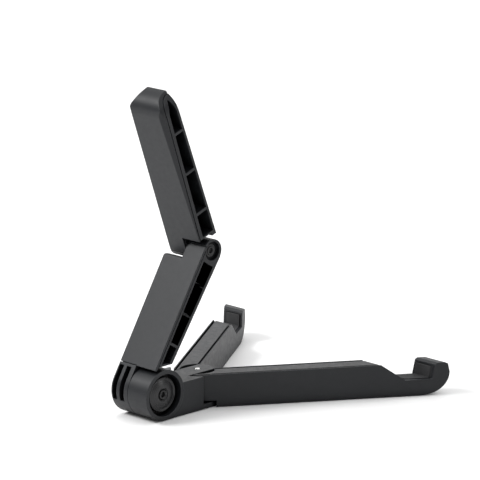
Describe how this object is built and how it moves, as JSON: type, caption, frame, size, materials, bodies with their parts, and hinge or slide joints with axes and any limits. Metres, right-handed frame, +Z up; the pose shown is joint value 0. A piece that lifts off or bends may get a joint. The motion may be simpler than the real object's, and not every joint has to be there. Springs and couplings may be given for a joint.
{
  "type": "folding tablet stand",
  "caption": "Folding stand for a tablet: a hub with swivelling legs that end in upturned rests, and a folding arm that props the tablet's back.",
  "frame": {"origin": "on the table, under the vertical pin that both legs turn on", "axes": "+Z up, +Y ahead to the tips of the open legs, +X to the right of someone looking along +Y"},
  "size_m": [0.1654, 0.1511, 0.1694],
  "materials": {
    "body_plastic": "fine satin texture, charcoal",
    "disc": "smooth, semi-gloss",
    "steel": "bright zinc",
    "washer_plastic": "natural nylon",
    "rubber": "matte"
  },
  "bodies": {
    "hub": {"hub_block": "body_plastic", "hinge_disc": "disc", "axle_rivet": "disc", "leg_pin": "steel", "hub_foot": "rubber", "leg_washer": "washer_plastic", "leg_spring_washer": "steel"},
    "lower_arm": {"lower_arm_frame": "body_plastic", "lower_arm_cover": "body_plastic", "barrel_cap": "disc", "axle_spring_washer": "steel", "axle_washer": "washer_plastic", "elbow_rivet": "disc"},
    "upper_arm": {"upper_arm_frame": "body_plastic", "upper_arm_cover": "body_plastic", "upper_arm_pad": "rubber"},
    "leg_right": {"right_leg": "body_plastic", "right_leg_cover": "body_plastic", "right_rest_pad": "rubber", "right_leg_foot": "rubber"},
    "leg_left": {"left_leg": "body_plastic", "left_leg_cover": "body_plastic", "left_rest_pad": "rubber", "left_leg_foot": "rubber"}
  },
  "joints": [
    {"name": "arm_hinge", "type": "hinge", "parent": "hub", "child": "lower_arm", "pos_m": [0, -0.0354, 0.0136], "axis": [-1, 0, 0], "range_deg": [-30, 55.4]},
    {"name": "elbow_hinge", "type": "hinge", "parent": "lower_arm", "child": "upper_arm", "pos_m": [0, -0.00154, 0.08302], "axis": [-1, 0, 0], "range_deg": [-40, 55.3]},
    {"name": "right_leg_swivel", "type": "hinge", "parent": "hub", "child": "leg_right", "pos_m": [0, 0, 0.006], "axis": [0, 0, 1], "range_deg": [0, 33.6]},
    {"name": "left_leg_swivel", "type": "hinge", "parent": "hub", "child": "leg_left", "pos_m": [0, 0, 0.0115], "axis": [0, 0, -1], "range_deg": [0, 33.6]}
  ]
}
